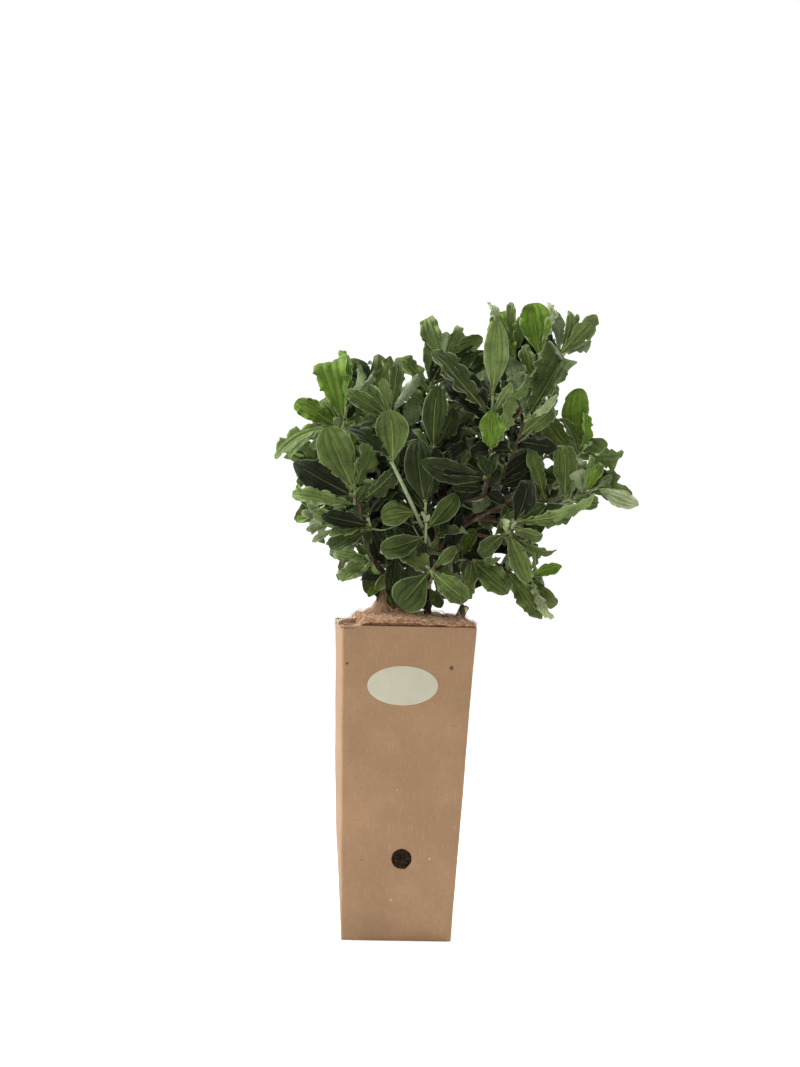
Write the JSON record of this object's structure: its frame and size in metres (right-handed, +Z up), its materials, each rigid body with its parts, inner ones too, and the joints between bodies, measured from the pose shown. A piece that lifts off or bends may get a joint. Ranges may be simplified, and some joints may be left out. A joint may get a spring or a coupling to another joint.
{
  "type": "potted shrub",
  "caption": "Young evergreen rock rose with wavy-edged oval leaves, growing through a fibre mat in a tall, tapered kraft-board pot with a bare oval label.",
  "frame": {"origin": "middle of the pot's flat underside", "axes": "+Z up through the pot and the plant, -Y towards the panel with the label and the drain hole, +X to that panel's right"},
  "size_m": [0.3528, 0.2992, 0.6054],
  "materials": {
    "kraft_board": "matte",
    "label_paper": "satin",
    "potting_soil": "matte",
    "coconut_fibre": "matte",
    "twisted_fibre": "matte",
    "bark": "matte",
    "foliage": "satin"
  },
  "bodies": {
    "root": {"back_centre": "foliage", "back_left": "foliage", "back_left_bough": "bark", "back_low": "foliage", "back_low_left": "foliage", "back_mid": "foliage", "back_right": "foliage", "back_right_bough": "bark", "back_right_low": "foliage", "back_right_top": "foliage", "back_stem": "bark", "back_top": "foliage", "back_top_left": "foliage", "centre_bough": "bark", "centre_dark": "foliage", "centre_left": "foliage", "centre_tall": "foliage", "fibre_mat": "coconut_fibre", "foot_leaf": "foliage", "front_bough": "bark", "front_centre": "foliage", "front_dark": "foliage", "front_long": "foliage", "front_low": "foliage", "front_mid": "foliage", "label": "label_paper", "left_back_low": "foliage", "left_far": "foliage", "left_foot": "foliage", "left_front": "foliage", "left_front_low": "foliage", "left_low": "foliage", "left_mid": "foliage", "left_stem": "bark", "left_top": "foliage", "low_back": "foliage", "low_mid": "foliage", "low_right": "foliage", "low_right_bough": "bark", "main_stem": "bark", "pot": "kraft_board", "right_bough": "bark", "right_dark": "foliage", "right_far": "foliage", "right_low": "foliage", "right_mid": "foliage", "right_top": "foliage", "right_under": "foliage", "soil": "potting_soil", "top_bough": "bark", "top_centre": "foliage", "top_left": "foliage", "top_mid": "foliage", "top_right": "foliage", "twisted_end": "twisted_fibre", "upper_left_bough": "bark"}
  },
  "joints": []
}
